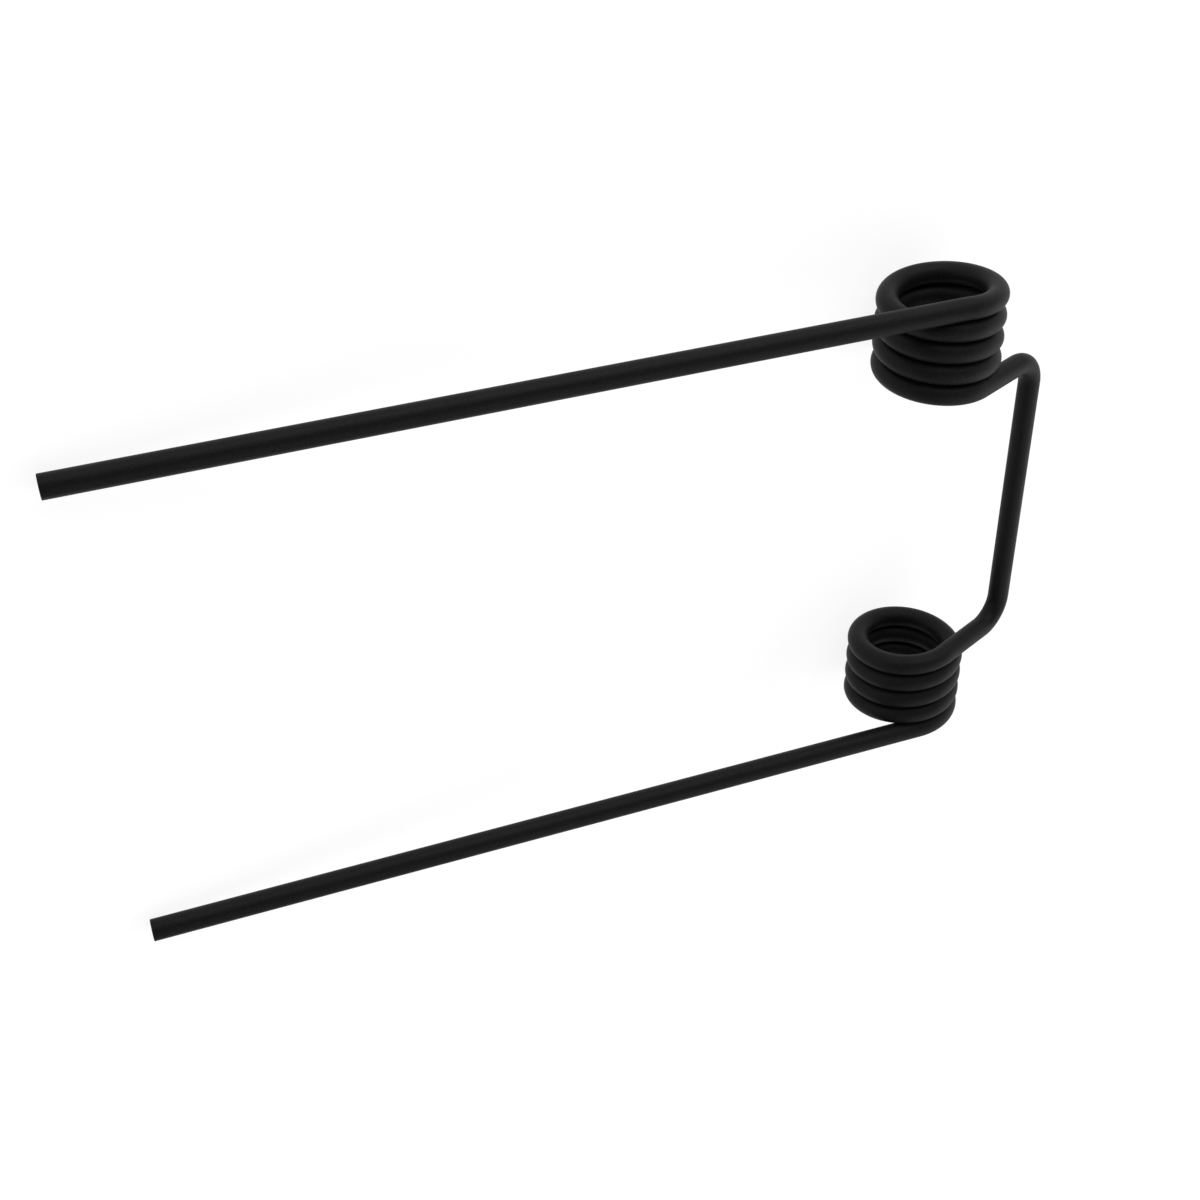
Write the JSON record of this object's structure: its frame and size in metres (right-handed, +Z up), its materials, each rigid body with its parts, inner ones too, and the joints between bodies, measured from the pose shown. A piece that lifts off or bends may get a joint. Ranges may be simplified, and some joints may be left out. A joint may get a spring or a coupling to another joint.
{
  "type": "torsion spring",
  "caption": "Double torsion spring of round black wire: close-wound coils of opposite hand on a shared axis, long straight legs and a U-shaped bridge between the coils.",
  "frame": {"origin": "on the coil axis, midway between the coils", "axes": "+Y along the coil axis; -X towards the leg tips, level with the surface it lies on; +Z up, away from that surface, which is at z = -0.020 m"},
  "size_m": [0.3055, 0.168, 0.04],
  "materials": {
    "black_wire": "black satin paint over cold-drawn spring steel wire"
  },
  "bodies": {
    "root": {"torsion_spring": "black_wire"}
  },
  "joints": []
}
